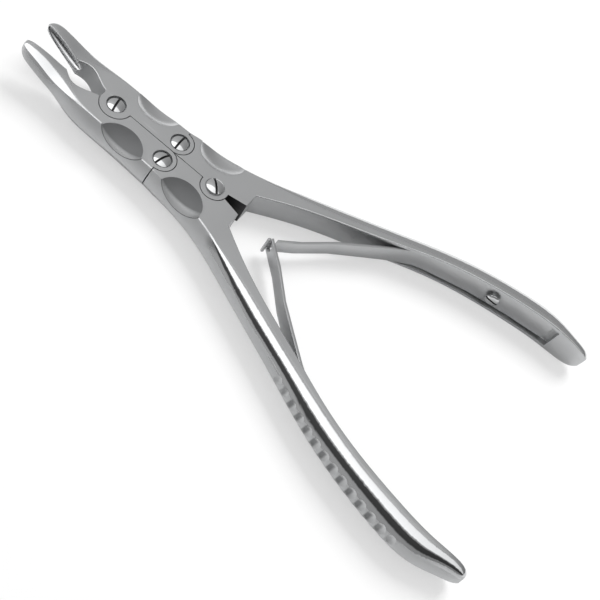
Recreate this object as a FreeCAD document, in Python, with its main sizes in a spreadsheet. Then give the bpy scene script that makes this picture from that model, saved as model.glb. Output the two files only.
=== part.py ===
"""Double-action bone rongeur, lying flat, jaws and handles fully open.

The sizes are measured from the rear pivot's axis at mid thickness, and each finished piece is then
moved so that the origin is at the middle of the underside of the whole. +X points to the jaws, +Z
up through the screw heads. Side a lies at -Y and side b at +Y. All sizes are millimetres.
"""
import FreeCAD, Part
import Sketcher
import math
import os

from FreeCAD import Placement, Rotation, Vector

doc = FreeCAD.newDocument("rongeur")
sheet = doc.addObject("Spreadsheet::Sheet", "Sizes")

# Driving dimensions, each with its alias
DIMENSIONS = (
    ("half_thick", 4.2),
    ("front_pivot_x", 34.0),
    ("link_pivot_x", 15.0),
    ("link_pivot_y", 3.9),
    ("seam_half", 0.1),
    ("lap_gap", 0.06),
    ("lap_clear", 0.25),
    ("jaw_close_angle", 8.5),
    ("handle_close_angle", 10.9),
    ("close_margin_angle", 0.5),
    ("edge_radius", 0.3),
    ("fill_width", 5.0),
    ("front_lug_radius", 4.6),
    ("link_lug_radius", 3.8),
    ("rear_lug_radius", 4.0),
    ("head_radius", 2.6),
    ("front_shank_radius", 1.5),
    ("link_shank_radius", 1.3),
    ("rear_shank_radius", 1.6),
    ("bore_clear", 0.04),
    ("open_bore_clear", 0.08),
    ("head_clear", 0.15),
    ("front_seat_depth", 1.1),
    ("link_seat_depth", 1.1),
    ("rear_seat_depth", 0.35),
    ("front_slot_angle", 102.7),
    ("link_a_slot_angle", 93.3),
    ("link_b_slot_angle", 75.2),
    ("rear_slot_angle", 134.5),
    ("head_seat_gap", 0.03),
    ("head_rim", 1.0),
    ("head_dome", 0.55),
    ("shank_end_inset", 0.05),
    ("shank_end_chamfer", 0.25),
    ("slot_width", 0.75),
    ("slot_depth", 0.85),
    ("handle_fill_front_x", 13.6),
    ("crotch_nose_x", -9.5),
    ("crotch_nose_width", 8.0),
    ("flank_radius", 12.0),
    ("throat_fill_x", 38.8),
    ("cup_x", 54.7),
    ("cup_rise", 3.75),
    ("cup_pitch_angle", 15.0),
    ("cup_length_radius", 7.0),
    ("cup_depth_radius", 2.3),
    ("cup_height_radius", 2.45),
    ("scoop_length_radius", 9.2),
    ("scoop_width_radius", 8.0),
    ("scoop_height_radius", 7.9),
    ("scoop_up", 5.2),
    ("jaw_scoop_x", 25.7),
    ("jaw_scoop_y", 9.4),
    ("handle_scoop_x", 4.4),
    ("handle_scoop_y", 10.4),
    ("handle_scoop_angle", 8.0),
    ("grip_arc_x", -113.42),
    ("grip_arc_y", -108.27),
    ("grip_arc_radius", 155.75),
    ("serration_radius", 4.0),
    ("serration_depth", 0.28),
    ("serration_reach", 4.4),
    ("serration_lean_angle", 31.0),
    ("serration_inset", 0.55),
    ("serration_rise", 1.2),
    ("serration_first_angle", 8.4),
    ("serration_pitch_angle", 1.36),
    ("channel_depth", 2.0),
    ("channel_mouth", 1.5),
    ("leaf_thick", 0.9),
    ("leaf_edge_radius", 0.15),
    ("leaf_slope_angle", 41.5),
    ("link_x", -20.9),
    ("leaf_link_gap", 0.75),
    ("neck_half_height", 0.75),
    ("slot_half_height", 1.05),
    ("crossbar_half_height", 3.3),
    ("leaf_screw_x", -79.0),
    ("leaf_screw_y", 36.05),
    ("leaf_screw_angle", 13.6),
    ("leaf_screw_head_radius", 2.3),
    ("leaf_screw_shank_radius", 1.1),
    ("leaf_screw_length", 2.2),
    ("leaf_screw_dome", 0.7),
    ("leaf_screw_top_radius", 1.6),
    ("leaf_screw_rim", 0.25),
    ("leaf_screw_end_clear", 0.2),
    ("leaf_slot_depth", 0.45),
    ("leaf_end_trim", 0.3),
    ("neck_thick", 0.72),
    ("neck_root", 1.5),
    ("slot_root", 0.6),
    ("overcut", 1.0),
)

# Jaw sections: name, distance along, inner side, end of the flat, ridge, widest side,
# underside, height of the widest line, top, drop from the flat to the ridge
JAW_SECTIONS = (
    ("tail", 15.05, 1.2, 8.2, 8.6, 10.9, -4.2, 0.0, 4.2, 0.12),
    ("link", 20.0, 1.2, 8.0, 8.4, 10.7, -4.2, 0.0, 4.2, 0.12),
    ("waist", 27.0, 1.2, 7.7, 8.1, 10.4, -4.2, 0.0, 4.2, 0.12),
    ("lug", 34.0, 1.2, 7.5, 7.9, 10.4, -4.2, 0.0, 4.2, 0.12),
    ("throat", 38.5, 1.2, 7.2, 7.8, 10.2, -4.2, 0.0, 4.2, 0.17),
    ("neck", 42.0, 2.6, 6.4, 7.7, 9.7, -3.9, 0.1, 4.25, 0.38),
    ("hollow", 45.5, 3.8, 5.0, 7.6, 9.1, -2.8, 0.7, 4.55, 0.75),
    ("root", 50.0, 1.9, 3.5, 7.4, 8.7, -0.5, 1.9, 5.2, 1.08),
    ("bowl", 54.0, 2.4, 3.4, 7.1, 8.5, 0.9, 2.9, 6.2, 1.03),
    ("nose", 58.0, 3.0, 3.9, 6.8, 8.1, 2.2, 3.9, 6.9, 0.8),
    ("round", 60.2, 3.4, 4.3, 6.3, 7.3, 3.0, 4.5, 6.9, 0.58),
    ("tip", 61.5, 3.9, 4.4, 5.2, 5.7, 4.1, 5.2, 6.3, 0.3),
)

# Handle sections: name, distance along, inner side, end of the flat, ridge, widest side,
# half height, drop from the flat to the ridge
HANDLE_SECTIONS = (
    ("front", 14.7, 1.2, 8.3, 8.7, 10.9, 4.2, 0.12),
    ("cheek", 6.0, 1.4, 9.1, 9.5, 12.1, 4.2, 0.12),
    ("pivot", -3.0, 3.0, 10.7, 11.2, 14.0, 4.2, 0.16),
    ("crotch", -10.0, 6.8, 13.0, 13.9, 16.4, 4.2, 0.5),
    ("neck", -18.0, 11.6, 15.4, 18.0, 19.8, 4.2, 1.3),
    ("shank", -30.0, 17.6, 19.8, 24.0, 25.0, 4.2, 2.4),
    ("waist", -44.0, 23.7, 25.6, 29.8, 31.2, 4.5, 2.4),
    ("swell", -58.0, 29.9, 30.8, 35.75, 37.25, 4.9, 2.45),
    ("palm", -72.0, 34.5, 35.6, 40.4, 41.9, 5.3, 2.7),
    ("grip", -86.0, 37.5, 38.5, 43.55, 45.05, 5.5, 2.8),
    ("heel", -99.0, 39.0, 39.8, 44.2, 45.6, 5.35, 2.65),
    ("taper", -106.0, 38.9, 39.6, 42.4, 43.7, 4.8, 2.3),
    ("close", -109.6, 39.1, 39.7, 41.6, 42.5, 3.7, 1.7),
    ("end", -111.0, 39.5, 39.9, 40.9, 41.5, 2.2, 1.0),
)

# Channel sections: name, distance along, floor's side, half height
CHANNEL_SECTIONS = (
    ("ramp", -37.0, 20.9, 3.2),
    ("mouth", -46.0, 26.2, 3.6),
    ("swell", -58.0, 31.9, 4.0),
    ("palm", -72.0, 36.5, 4.3),
    ("grip", -86.0, 39.5, 4.4),
    ("end", -100.0, 41.0, 4.0),
)

# Leaf sections: name, distance along, outer side, half height
LEAF_BASE_SECTIONS = (
    ("end", -98.0, 40.84, 3.0),
    ("heel", -96.0, 40.71, 3.7),
    ("grip", -86.0, 39.47, 4.0),
    ("palm", -72.0, 36.47, 3.95),
    ("swell", -58.0, 31.87, 3.7),
    ("lift", -52.0, 28.9, 3.55),
    ("bend", -47.0, 24.8, 3.45),
    ("middle", -34.0, 13.5, 3.2),
)


# Labels of each table's columns after the name
SECTION_TABLES = (
    ("jaw", ("along", "inner", "flat", "ridge", "outer", "low", "middle", "high", "drop"), JAW_SECTIONS),
    ("handle", ("along", "inner", "flat", "ridge", "outer", "half", "drop"), HANDLE_SECTIONS),
    ("channel", ("along", "floor", "half"), CHANNEL_SECTIONS),
    ("leaf", ("along", "outer", "half"), LEAF_BASE_SECTIONS),
)

NOUGHT = "0 * @half_thick"
SCOOP_RADII = ("@scoop_length_radius", "@scoop_width_radius", "@scoop_height_radius")
SERRATION_COUNT = 14


def all_sizes():
    """Every driving dimension and section size with its name."""
    rows = list(DIMENSIONS)
    for kind, labels, table in SECTION_TABLES:
        for name, *numbers in table:
            rows += [(f"{kind}_{name}_{label}", number) for label, number in zip(labels, numbers)]
    return rows


def fill_sheet():
    """Put every size into the sheet under its name."""
    for row, (name, number) in enumerate(all_sizes(), 1):
        sheet.set(f"A{row}", name)
        sheet.set(f"B{row}", str(number))
        sheet.setAlias(f"B{row}", name)
    doc.recompute()


def size(name):
    """The value of one named size."""
    return float(sheet.get(name))


def formula(text):
    """Turn @name into a reference to the sheet's cell of that name."""
    return text.replace("@", "Sizes.")


def value(text):
    """Work out a formula now, as a plain number."""
    result = sheet.evalExpression(formula(text))
    return float(getattr(result, "Value", result))


def bind(item, path, text):
    """Bind one property to a formula of the sheet's cells."""
    item.setExpression(path, formula(text))


def plane(body, role):
    """One of a body's own origin planes."""
    return next(item for item in body.Origin.OriginFeatures if item.Role == role)


def new_body(name):
    """A body whose label names its file."""
    body = doc.addObject("PartDesign::Body", name)
    body.Label = name
    return body


def new_sketch(body, name, role, offset=None, turned=False):
    """A sketch on one of the body's planes, moved along the plane's normal by a formula."""
    sketch = body.newObject("Sketcher::SketchObject", name)
    sketch.AttachmentSupport = [(plane(body, role), "")]
    sketch.MapMode = "FlatFace"
    if turned:
        sketch.AttachmentOffset = Placement(Vector(), Rotation(Vector(0, 1, 0), 180))
    if offset is not None:
        bind(sketch, "AttachmentOffset.Base.z", offset)
    return sketch


def dimension(sketch, kind, first, first_point, text):
    """Fix one coordinate of a point, or a radius, by a formula."""
    number = value(text)
    if kind == "Radius":
        index = sketch.addConstraint(Sketcher.Constraint(kind, first, number))
    else:
        index = sketch.addConstraint(Sketcher.Constraint(kind, -1, 1, first, first_point, number))
    bind(sketch, f"Constraints[{index}]", text)


def corner_arc(centre, radius, start):
    """A quarter circle that starts at the given angle."""
    circle = Part.Circle(Vector(centre[0], centre[1], 0), Vector(0, 0, 1), radius)
    return Part.ArcOfCircle(circle, start, start + math.pi / 2)


def rounded_section(body, name, along, left, right, low, high, left_radius, right_radius):
    """A rectangle across X with its four corners rounded, every size a formula."""
    sketch = new_sketch(body, name, "YZ_Plane", along)
    x0, x1, y0, y1 = (value(text) for text in (left, right, low, high))
    r0, r1 = value(left_radius), value(right_radius)
    geometry = (
        Part.LineSegment(Vector(x0 + r0, y0, 0), Vector(x1 - r1, y0, 0)),
        corner_arc((x1 - r1, y0 + r1), r1, -math.pi / 2),
        Part.LineSegment(Vector(x1, y0 + r1, 0), Vector(x1, y1 - r1, 0)),
        corner_arc((x1 - r1, y1 - r1), r1, 0),
        Part.LineSegment(Vector(x1 - r1, y1, 0), Vector(x0 + r0, y1, 0)),
        corner_arc((x0 + r0, y1 - r0), r0, math.pi / 2),
        Part.LineSegment(Vector(x0, y1 - r0, 0), Vector(x0, y0 + r0, 0)),
        corner_arc((x0 + r0, y0 + r0), r0, math.pi),
    )
    for item in geometry:
        sketch.addGeometry(item, False)
    bottom, low_right, right_side, high_right, top, high_left, left_side, low_left = range(8)
    for first in range(8):
        sketch.addConstraint(Sketcher.Constraint("Coincident", first, 2, (first + 1) % 8, 1))
    for line in (bottom, top):
        sketch.addConstraint(Sketcher.Constraint("Horizontal", line))
    for line in (right_side, left_side):
        sketch.addConstraint(Sketcher.Constraint("Vertical", line))
    for arc, vertical_end in ((low_right, 1), (high_right, 2), (high_left, 1), (low_left, 2)):
        sketch.addConstraint(Sketcher.Constraint("Vertical", arc, vertical_end, arc, 3))
        sketch.addConstraint(Sketcher.Constraint("Horizontal", arc, 3 - vertical_end, arc, 3))
    dimension(sketch, "DistanceX", left_side, 1, left)
    dimension(sketch, "DistanceX", right_side, 1, right)
    dimension(sketch, "DistanceY", bottom, 1, low)
    dimension(sketch, "DistanceY", top, 1, high)
    for arc in (low_right, high_right):
        dimension(sketch, "Radius", arc, 0, right_radius)
    for arc in (high_left, low_left):
        dimension(sketch, "Radius", arc, 0, left_radius)
    return sketch


def side_section(body, name, side, along, inner, outer, low, high, inner_radius, outer_radius):
    """A rounded section on side b, or its mirror image on side a."""
    if side == "b":
        return rounded_section(body, name, along, inner, outer, low, high, inner_radius, outer_radius)
    return rounded_section(
        body, name, along, f"-({outer})", f"-({inner})", low, high, outer_radius, inner_radius
    )


def arc_between(start, end, radius):
    """The short arc that bulges to the right of the way from start to end."""
    chord = end - start
    away = math.sqrt(radius ** 2 - (chord.Length / 2) ** 2)
    centre = (start + end) * 0.5 + Vector(-chord.y, chord.x, 0).normalize() * away
    first = math.atan2(start.y - centre.y, start.x - centre.x)
    last = math.atan2(end.y - centre.y, end.x - centre.x)
    return Part.ArcOfCircle(Part.Circle(centre, Vector(0, 0, 1), radius), first, last)


def crowned_section(body, side, key, low, middle, high):
    """Across a jaw or handle: flat top and underside, rounded crowns, and flanks that lean out
    to a widest line. It is drawn for side b, and turned about the upright for side a."""
    name = f"{body.Name}_{key.rsplit('_', 1)[1]}"
    sketch = new_sketch(body, name, "YZ_Plane", f"{key}_along", turned=side == "a")
    edge = "@edge_radius"
    labels = ("inner", "flat", "ridge", "outer", "drop")
    inner, flat, ridge, outer, drop = (f"{key}_{label}" for label in labels)
    corners = (
        (f"{inner} + {edge}", low),
        (flat, low),
        (ridge, f"{low} + {drop}"),
        (outer, middle),
        (ridge, f"{high} - {drop}"),
        (flat, high),
        (f"{inner} + {edge}", high),
        (inner, f"{high} - {edge}"),
        (inner, f"{low} + {edge}"),
    )
    crown = f"(({ridge} - {flat}) ^ 2 + {drop} ^ 2) / (2 * {drop})"
    radii = {1: crown, 2: "@flank_radius", 3: "@flank_radius", 4: crown, 6: edge, 8: edge}
    numbers = [Vector(value(across), value(up), 0) for across, up in corners]
    count = len(numbers)
    for index in range(count):
        start, end = numbers[index], numbers[(index + 1) % count]
        if index in radii:
            sketch.addGeometry(arc_between(start, end, value(radii[index])), False)
        else:
            sketch.addGeometry(Part.LineSegment(start, end), False)
    for index, (across, up) in enumerate(corners):
        sketch.addConstraint(Sketcher.Constraint("Coincident", index, 2, (index + 1) % count, 1))
        dimension(sketch, "DistanceX", index, 1, across)
        dimension(sketch, "DistanceY", index, 1, up)
    for index, radius in radii.items():
        dimension(sketch, "Radius", index, 0, radius)
    return sketch


def loft(body, name, sketches, kind="Additive", ruled=False):
    """Join sections into one smooth length, added or cut away."""
    feature = body.newObject(f"PartDesign::{kind}Loft", name)
    feature.Profile = sketches[0]
    feature.Sections = sketches[1:]
    feature.Ruled = ruled
    feature.Closed = False
    doc.recompute()
    return feature


def plan_sketch(body, name, side, points):
    """A closed outline seen from above, each point a pair of formulas for side b."""
    sketch = new_sketch(body, name, "XY_Plane")
    sign = "" if side == "b" else "-"
    places = [(along, f"{sign}({across})") for along, across in points]
    numbers = [Vector(value(along), value(across), 0) for along, across in places]
    count = len(numbers)
    for index in range(count):
        sketch.addGeometry(Part.LineSegment(numbers[index], numbers[(index + 1) % count]), False)
    for index in range(count):
        sketch.addConstraint(Sketcher.Constraint("Coincident", index, 2, (index + 1) % count, 1))
        dimension(sketch, "DistanceX", index, 1, places[index][0])
        dimension(sketch, "DistanceY", index, 1, places[index][1])
    return sketch


def plan_pad(body, name, side, points):
    """Fill an outline seen from above through the joint's whole thickness."""
    feature = body.newObject("PartDesign::Pad", name)
    feature.Profile = plan_sketch(body, f"{name}_outline", side, points)
    feature.Midplane = True
    bind(feature, "Length", "2 * @half_thick")
    doc.recompute()
    return feature


def plan_cut(body, name, side, points):
    """Cut an outline seen from above right through."""
    feature = body.newObject("PartDesign::Pocket", name)
    feature.Profile = plan_sketch(body, f"{name}_outline", side, points)
    feature.Type = "ThroughAll"
    feature.Midplane = True
    doc.recompute()
    return feature


def place(feature, along, across, up):
    """Bind a primitive's place to formulas."""
    bind(feature, "Placement.Base.x", along)
    bind(feature, "Placement.Base.y", across)
    bind(feature, "Placement.Base.z", up)


def cylinder(body, name, kind, centre, bottom, radius, height):
    """An upright cylinder, added or cut away, about a centre given as formulas."""
    feature = body.newObject(f"PartDesign::{kind}Cylinder", name)
    bind(feature, "Radius", radius)
    bind(feature, "Height", height)
    place(feature, centre[0], centre[1], bottom)
    doc.recompute()
    return feature


def ellipsoid_cut(body, name, centre, radii, turn):
    """Cut away an ellipsoid with the given turn."""
    feature = body.newObject("PartDesign::SubtractiveEllipsoid", name)
    feature.Angle1 = -90
    feature.Angle2 = 90
    feature.Angle3 = 360
    bind(feature, "Radius2", radii[0])
    bind(feature, "Radius3", radii[1])
    bind(feature, "Radius1", radii[2])
    feature.Placement = Placement(Vector(), turn)
    place(feature, *centre)
    doc.recompute()
    return feature


def box(body, name, kind, corner, sizes, angle):
    """A box, added or cut away, turned about the upright axis through its corner."""
    feature = body.newObject(f"PartDesign::{kind}Box", name)
    bind(feature, "Length", sizes[0])
    bind(feature, "Width", sizes[1])
    bind(feature, "Height", sizes[2])
    feature.Placement = Placement(Vector(), Rotation(Vector(0, 0, 1), 1.0))
    place(feature, *corner)
    bind(feature, "Placement.Rotation.Angle", angle)
    doc.recompute()
    return feature


def pivot(name, side="b"):
    """The centre of a pivot, as formulas."""
    sign = "" if side == "b" else "-"
    centres = {
        "front": ("@front_pivot_x", NOUGHT),
        "link": ("@link_pivot_x", f"{sign}@link_pivot_y"),
        "rear": (NOUGHT, NOUGHT),
    }
    return centres[name]


def half_lap(body, name, centre, level):
    """Keep only the upper or lower half of a lap joint: clear the other half and add the lug."""
    lug = f"@{name}_lug_radius"
    upper = level == "upper"
    clear_bottom = "-@half_thick - @overcut" if upper else "-@lap_gap / 2"
    clear = (f"{lug} + @lap_clear", "@half_thick + @overcut + @lap_gap / 2")
    cylinder(body, f"{body.Name}_{name}_clear", "Subtractive", centre, clear_bottom, *clear)
    lug_bottom = "@lap_gap / 2" if upper else "-@half_thick"
    height = "@half_thick - @lap_gap / 2"
    cylinder(body, f"{body.Name}_{name}_lug", "Additive", centre, lug_bottom, lug, height)


def bore(body, name, centre, clear, with_head):
    """Bore a lap for its screw, with a seat for the head in an upper lug."""
    radius = f"@{name}_shank_radius + @{clear}"
    bottom = "-@half_thick - @overcut"
    through = "2 * (@half_thick + @overcut)"
    cylinder(body, f"{body.Name}_{name}_bore", "Subtractive", centre, bottom, radius, through)
    if with_head:
        depth = f"@{name}_seat_depth"
        seat = (f"@half_thick - {depth}", "@head_radius + @head_clear", f"{depth} + @overcut")
        cylinder(body, f"{body.Name}_{name}_seat", "Subtractive", centre, *seat)


def make_jaw(side):
    """One jaw: tail, lug, throat and spoon-shaped bite, lofted along its length."""
    body = new_body(f"jaw_{side}")
    sketches = []
    for name, *_ in JAW_SECTIONS:
        key = f"@jaw_{name}"
        sketches.append(
            crowned_section(body, side, key, f"{key}_low", f"{key}_middle", f"{key}_high")
        )
    loft(body, f"jaw_{side}_length", sketches)
    wedge = "tan(@jaw_close_angle * 1 deg)"
    seam_fill = (
        ("@link_pivot_x", "@seam_half"),
        ("@front_pivot_x", "@seam_half"),
        ("@throat_fill_x", f"@seam_half + (@throat_fill_x - @front_pivot_x) * {wedge}"),
        ("@throat_fill_x", "@fill_width"),
        ("@link_pivot_x", "@fill_width"),
    )
    plan_pad(body, f"jaw_{side}_seam", side, seam_fill)
    far = "@jaw_tip_along + @fill_width"
    bite = (
        ("@front_pivot_x", "@seam_half"),
        (far, f"@seam_half + ({far} - @front_pivot_x) * {wedge}"),
        (far, "-@fill_width"),
        ("@front_pivot_x", "-@fill_width"),
    )
    plan_cut(body, f"jaw_{side}_bite", side, bite)
    sign = "" if side == "b" else "-"
    cup_side = f"{sign}(@seam_half + (@cup_x - @front_pivot_x) * {wedge})"
    cup_radii = ("@cup_length_radius", "@cup_depth_radius", "@cup_height_radius")
    cup_turn = Rotation(Vector(0, 0, 1), value(f"{sign}@jaw_close_angle"))
    cup_turn = cup_turn * Rotation(Vector(0, 1, 0), value("-@cup_pitch_angle"))
    cup_centre = ("@cup_x", cup_side, "@cup_rise")
    ellipsoid_cut(body, f"jaw_{side}_cup", cup_centre, cup_radii, cup_turn)
    scoop = ("@jaw_scoop_x", f"{sign}@jaw_scoop_y", "@half_thick + @scoop_up")
    ellipsoid_cut(body, f"jaw_{side}_scoop", scoop, SCOOP_RADII, Rotation())
    half_lap(body, "front", pivot("front"), "upper" if side == "a" else "lower")
    half_lap(body, "link", pivot("link", side), "upper")
    bore(body, "front", pivot("front"), "bore_clear", side == "a")
    link_clear = "open_bore_clear" if side == "a" else "bore_clear"
    bore(body, "link", pivot("link", side), link_clear, True)
    return body


def serration_tool(body, side, level):
    """One shallow scallop in the upper or lower flank of the grip, cut by an ellipsoid."""
    angle = math.radians(size("serration_first_angle"))
    lean = math.radians(size("serration_lean_angle"))
    across = 1 if side == "b" else -1
    upright = 1 if level == "upper" else -1
    outwards = Vector(math.sin(angle), across * math.cos(angle), 0)
    along_flank = Vector(0, 0, upright * math.cos(lean)) - outwards * math.sin(lean)
    turn = "(@serration_first_angle * 1 deg)"
    tilt = "(@serration_lean_angle * 1 deg)"
    clear = "(@serration_radius - @serration_depth)"
    reach = f"(@grip_arc_radius - @serration_inset + {clear} * cos{tilt})"
    centre = (
        f"@grip_arc_x + {reach} * sin{turn}",
        f"{'' if side == 'b' else '-'}(@grip_arc_y + {reach} * cos{turn})",
        f"{'' if level == 'upper' else '-'}(@serration_rise + {clear} * sin{tilt})",
    )
    radii = ("@serration_radius", "@serration_radius", "@serration_reach")
    name = f"handle_{side}_{level}_serration"
    return ellipsoid_cut(body, name, centre, radii, Rotation(Vector(0, 0, 1), along_flank))


def cut_serrations(body, side):
    """Shallow scallops along both flanks of the grip, set evenly about the bow's centre."""
    axis = body.newObject("PartDesign::Line", f"handle_{side}_bow_centre")
    place(axis, "@grip_arc_x", f"{'' if side == 'b' else '-'}@grip_arc_y", NOUGHT)
    for level in ("upper", "lower"):
        tool = serration_tool(body, side, level)
        pattern = body.newObject("PartDesign::PolarPattern", f"handle_{side}_{level}_serrations")
        pattern.Originals = [tool]
        pattern.Axis = (axis, [""])
        pattern.Reversed = side == "b"
        pattern.Occurrences = SERRATION_COUNT
        bind(pattern, "Angle", f"@serration_pitch_angle * {SERRATION_COUNT - 1}")
        body.Tip = pattern
        doc.recompute()


def cut_channel(body, side):
    """The channel along the handle's inner face that holds the leaf spring."""
    sketches = []
    for name, *_ in CHANNEL_SECTIONS:
        key = f"@channel_{name}"
        mouth = f"{key}_floor - @channel_depth - @channel_mouth"
        sketches.append(
            side_section(
                body, f"handle_{side}_channel_{name}", side, f"{key}_along", mouth, f"{key}_floor",
                f"-{key}_half", f"{key}_half", "@edge_radius", "@edge_radius",
            )
        )
    loft(body, f"handle_{side}_channel", sketches, "Subtractive")


def screw_hole(body, name, side, radius, start, height):
    """A hole about the leaf screw's axis, from start to start + height outwards."""
    feature = body.newObject("PartDesign::SubtractiveCylinder", name)
    bind(feature, "Radius", radius)
    bind(feature, "Height", height)
    sign = "" if side == "b" else "-"
    feature.Placement = screw_frame(side)
    turn = "(@leaf_screw_angle * 1 deg)"
    bind(feature, "Placement.Base.x", f"@leaf_screw_x + ({start}) * sin{turn}")
    bind(feature, "Placement.Base.y", f"{sign}(@leaf_screw_y + ({start}) * cos{turn})")
    doc.recompute()
    return feature


def screw_frame(side):
    """The leaf screw's axis turned from upright to point outwards through the handle."""
    sign = 1 if side == "b" else -1
    lean = math.radians(size("leaf_screw_angle"))
    outwards = Vector(math.sin(lean), sign * math.cos(lean), 0)
    return Placement(Vector(), Rotation(Vector(0, 0, 1), outwards))


def make_handle(side):
    """One handle: cheek, crotch nose, bowed shank and serrated grip."""
    body = new_body(f"handle_{side}")
    sketches = []
    for name, *_ in HANDLE_SECTIONS:
        key = f"@handle_{name}"
        sketches.append(
            crowned_section(body, side, key, f"-{key}_half", NOUGHT, f"{key}_half")
        )
    loft(body, f"handle_{side}_length", sketches)
    wedge = "tan((@handle_close_angle + @close_margin_angle) * 1 deg)"
    seam_fill = (
        ("@handle_fill_front_x", "@seam_half"),
        (NOUGHT, "@seam_half"),
        ("@crotch_nose_x", f"@seam_half - @crotch_nose_x * {wedge}"),
        ("@crotch_nose_x", "@crotch_nose_width"),
        ("@handle_fill_front_x", "@fill_width"),
    )
    plan_pad(body, f"handle_{side}_seam", side, seam_fill)
    sign = "" if side == "b" else "-"
    scoop = ("@handle_scoop_x", f"{sign}@handle_scoop_y", "@half_thick + @scoop_up")
    turn = Rotation(Vector(0, 0, 1), value(f"{'-' if side == 'b' else ''}@handle_scoop_angle"))
    ellipsoid_cut(body, f"handle_{side}_scoop", scoop, SCOOP_RADII, turn)
    cut_serrations(body, side)
    cut_channel(body, side)
    half_lap(body, "link", pivot("link", side), "lower")
    half_lap(body, "rear", pivot("rear"), "upper" if side == "a" else "lower")
    bore(body, "link", pivot("link", side), "bore_clear", False)
    bore(body, "rear", pivot("rear"), "bore_clear", side == "a")
    radius = "@leaf_screw_shank_radius + @bore_clear"
    depth = "@leaf_thick + @leaf_screw_length + @leaf_screw_end_clear"
    screw_hole(body, f"handle_{side}_screw_hole", side, radius, NOUGHT, depth)
    return body


def screw_profile(body, name, shank, seat):
    """Half of a domed slotted screw, seen from the side."""
    sketch = new_sketch(body, name, "XZ_Plane")
    rim = f"{seat} + @head_rim"
    crown = f"{rim} + @head_dome"
    foot = "-@half_thick + @shank_end_inset"
    corners = (
        (NOUGHT, foot),
        (f"{shank} - @shank_end_chamfer", foot),
        (shank, f"{foot} + @shank_end_chamfer"),
        (shank, seat),
        ("@head_radius", seat),
        ("@head_radius", rim),
        (NOUGHT, crown),
    )
    numbers = [Vector(value(x), value(y), 0) for x, y in corners]
    count = len(numbers)
    dome_start, dome_end = numbers[count - 2], numbers[count - 1]
    rise = dome_end.y - dome_start.y
    dome_radius = (dome_start.x ** 2 + rise ** 2) / (2 * rise)
    for index in range(count - 2):
        sketch.addGeometry(Part.LineSegment(numbers[index], numbers[index + 1]), False)
    circle = Part.Circle(Vector(0, dome_end.y - dome_radius, 0), Vector(0, 0, 1), dome_radius)
    begin = math.asin((dome_start.y - dome_end.y + dome_radius) / dome_radius)
    sketch.addGeometry(Part.ArcOfCircle(circle, begin, math.pi / 2), False)
    sketch.addGeometry(Part.LineSegment(dome_end, numbers[0]), False)
    dome, axis = count - 2, count - 1
    for index in range(count):
        sketch.addConstraint(Sketcher.Constraint("Coincident", index, 2, (index + 1) % count, 1))
        dimension(sketch, "DistanceX", index, 1, corners[index][0])
        dimension(sketch, "DistanceY", index, 1, corners[index][1])
    sketch.addConstraint(Sketcher.Constraint("PointOnObject", dome, 3, axis))
    return sketch


def make_pivot_screw(name, kind, side=""):
    """A pivot screw with a domed, slotted head, turned so that its slot stands as in use."""
    body = new_body(name)
    centre = pivot(kind, side or "b")
    slot_angle = f"@{kind}_{side}_slot_angle" if side else f"@{kind}_slot_angle"
    seat = f"@half_thick - @{kind}_seat_depth + @head_seat_gap"
    feature = body.newObject("PartDesign::Revolution", f"{name}_turned")
    sketch = screw_profile(body, f"{name}_profile", f"@{kind}_shank_radius", seat)
    feature.Profile = sketch
    feature.ReferenceAxis = (sketch, ["V_Axis"])
    feature.Angle = 360
    doc.recompute()
    crown = f"{seat} + @head_rim + @head_dome"
    sizes = ("2 * (@head_radius + @overcut)", "@slot_width", "@slot_depth + @overcut")
    corner = ("-@head_radius - @overcut", "-@slot_width / 2", f"{crown} - @slot_depth")
    box(body, f"{name}_slot", "Subtractive", corner, sizes, NOUGHT)
    body.Placement = Placement(Vector(), Rotation(Vector(0, 0, 1), value(slot_angle)))
    bind(body, "Placement.Rotation.Angle", slot_angle)
    bind(body, "Placement.Base.x", centre[0])
    bind(body, "Placement.Base.y", centre[1])
    return body


def leaf_section(body, side, name):
    """One section of a leaf spring, its thickness widened where the leaf leans."""
    key = f"@leaf_{name}"
    leaning = ("bend", "middle")
    slope = "cos(@leaf_slope_angle * 1 deg)" if name in leaning else "1"
    inner = f"{key}_outer - @leaf_thick / {slope}"
    return side_section(
        body, f"leaf_{side}_{name}", side, f"{key}_along", inner, f"{key}_outer",
        f"-{key}_half", f"{key}_half", "@leaf_edge_radius", "@leaf_edge_radius",
    )


def leaf_tip_section(body, side, reach):
    """The leaf's last section, a given distance past the link along the leaf."""
    slope = "(@leaf_slope_angle * 1 deg)"
    along = f"@link_x + ({reach}) * cos{slope}"
    middle = f"-({reach}) * sin{slope}"
    spread = f"@leaf_thick / cos{slope} / 2"
    return side_section(
        body, f"leaf_{side}_tip", side, along, f"{middle} - {spread}", f"{middle} + {spread}",
        "-@crossbar_half_height + @leaf_end_trim", "@crossbar_half_height - @leaf_end_trim",
        "@leaf_edge_radius", "@leaf_edge_radius",
    )


def leaf_box(body, name, kind, side, start, length, half_height, thick):
    """A block across the leaf's tip, centred on the leaf, from start along it past the link."""
    sign = "" if side == "b" else "-"
    slope = "(@leaf_slope_angle * 1 deg)"
    away = f"{thick} / 2"
    along = f"@link_x + ({start}) * cos{slope} - ({away}) * sin{slope}"
    across = f"-({start}) * sin{slope} - ({away}) * cos{slope}"
    turn = "-@leaf_slope_angle"
    if side == "a":
        along = f"@link_x + ({start}) * cos{slope} + ({away}) * sin{slope}"
        across = f"({start}) * sin{slope} - ({away}) * cos{slope}"
        turn = "@leaf_slope_angle"
    sizes = (length, thick, f"2 * {half_height}")
    return box(body, name, kind, (along, across, f"-{half_height}"), sizes, turn)


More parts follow.
